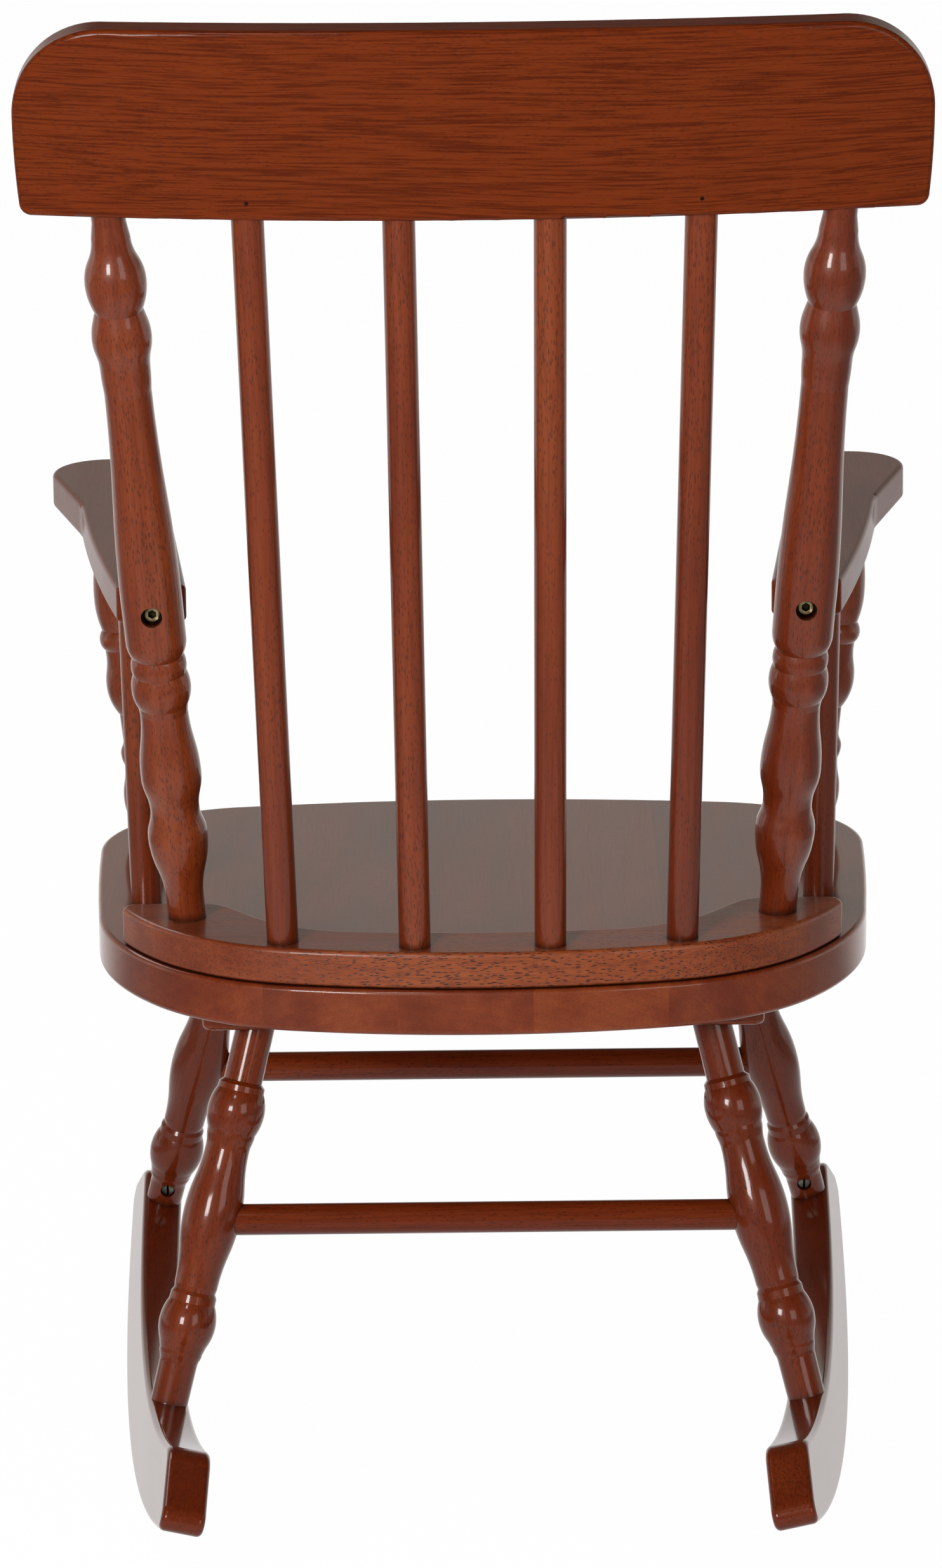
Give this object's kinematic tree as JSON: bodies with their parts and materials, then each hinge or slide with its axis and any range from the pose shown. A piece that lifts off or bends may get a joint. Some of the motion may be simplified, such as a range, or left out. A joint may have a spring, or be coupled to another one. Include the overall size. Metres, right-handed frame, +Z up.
{
  "type": "rocking chair",
  "caption": "Child's rocking chair in dark cherry-stained hardwood, with a bent crest rail, plain and turned spindles, flat arms, splayed turned legs and curved rockers.",
  "frame": {"origin": "on the floor under the middle of the chair's bounding box, with the chair at rest on its rockers", "axes": "+Z is up, -Y is the way the sitter faces, +X is the sitter's left"},
  "size_m": [0.4582, 0.5882, 0.7608],
  "materials": {
    "stained_wood": "dark red-brown cherry stain under a semi-gloss lacquer, fine dark pores",
    "zinc_steel": "yellow passivated zinc plate",
    "nut_steel": "dull grey zinc plate"
  },
  "bodies": {
    "root": {"arm_bolts": "zinc_steel", "arm_inserts": "zinc_steel", "arm_left": "stained_wood", "arm_post_left": "stained_wood", "arm_post_right": "stained_wood", "arm_right": "stained_wood", "arm_spindle_left": "stained_wood", "arm_spindle_right": "stained_wood", "back_post_left": "stained_wood", "back_post_right": "stained_wood", "back_spindle_1": "stained_wood", "back_spindle_2": "stained_wood", "back_spindle_3": "stained_wood", "back_spindle_4": "stained_wood", "back_yoke": "stained_wood", "barrel_nuts": "nut_steel", "batten_screws": "zinc_steel", "crest_brads": "nut_steel", "crest_rail": "stained_wood", "front_leg_left": "stained_wood", "front_leg_right": "stained_wood", "front_stretcher": "stained_wood", "rear_leg_left": "stained_wood", "rear_leg_right": "stained_wood", "rear_stretcher": "stained_wood", "rocker_bolts": "zinc_steel", "rocker_left": "stained_wood", "rocker_right": "stained_wood", "seat": "stained_wood", "seat_batten_front": "stained_wood", "seat_batten_rear": "stained_wood", "yoke_screws": "zinc_steel"}
  },
  "joints": []
}
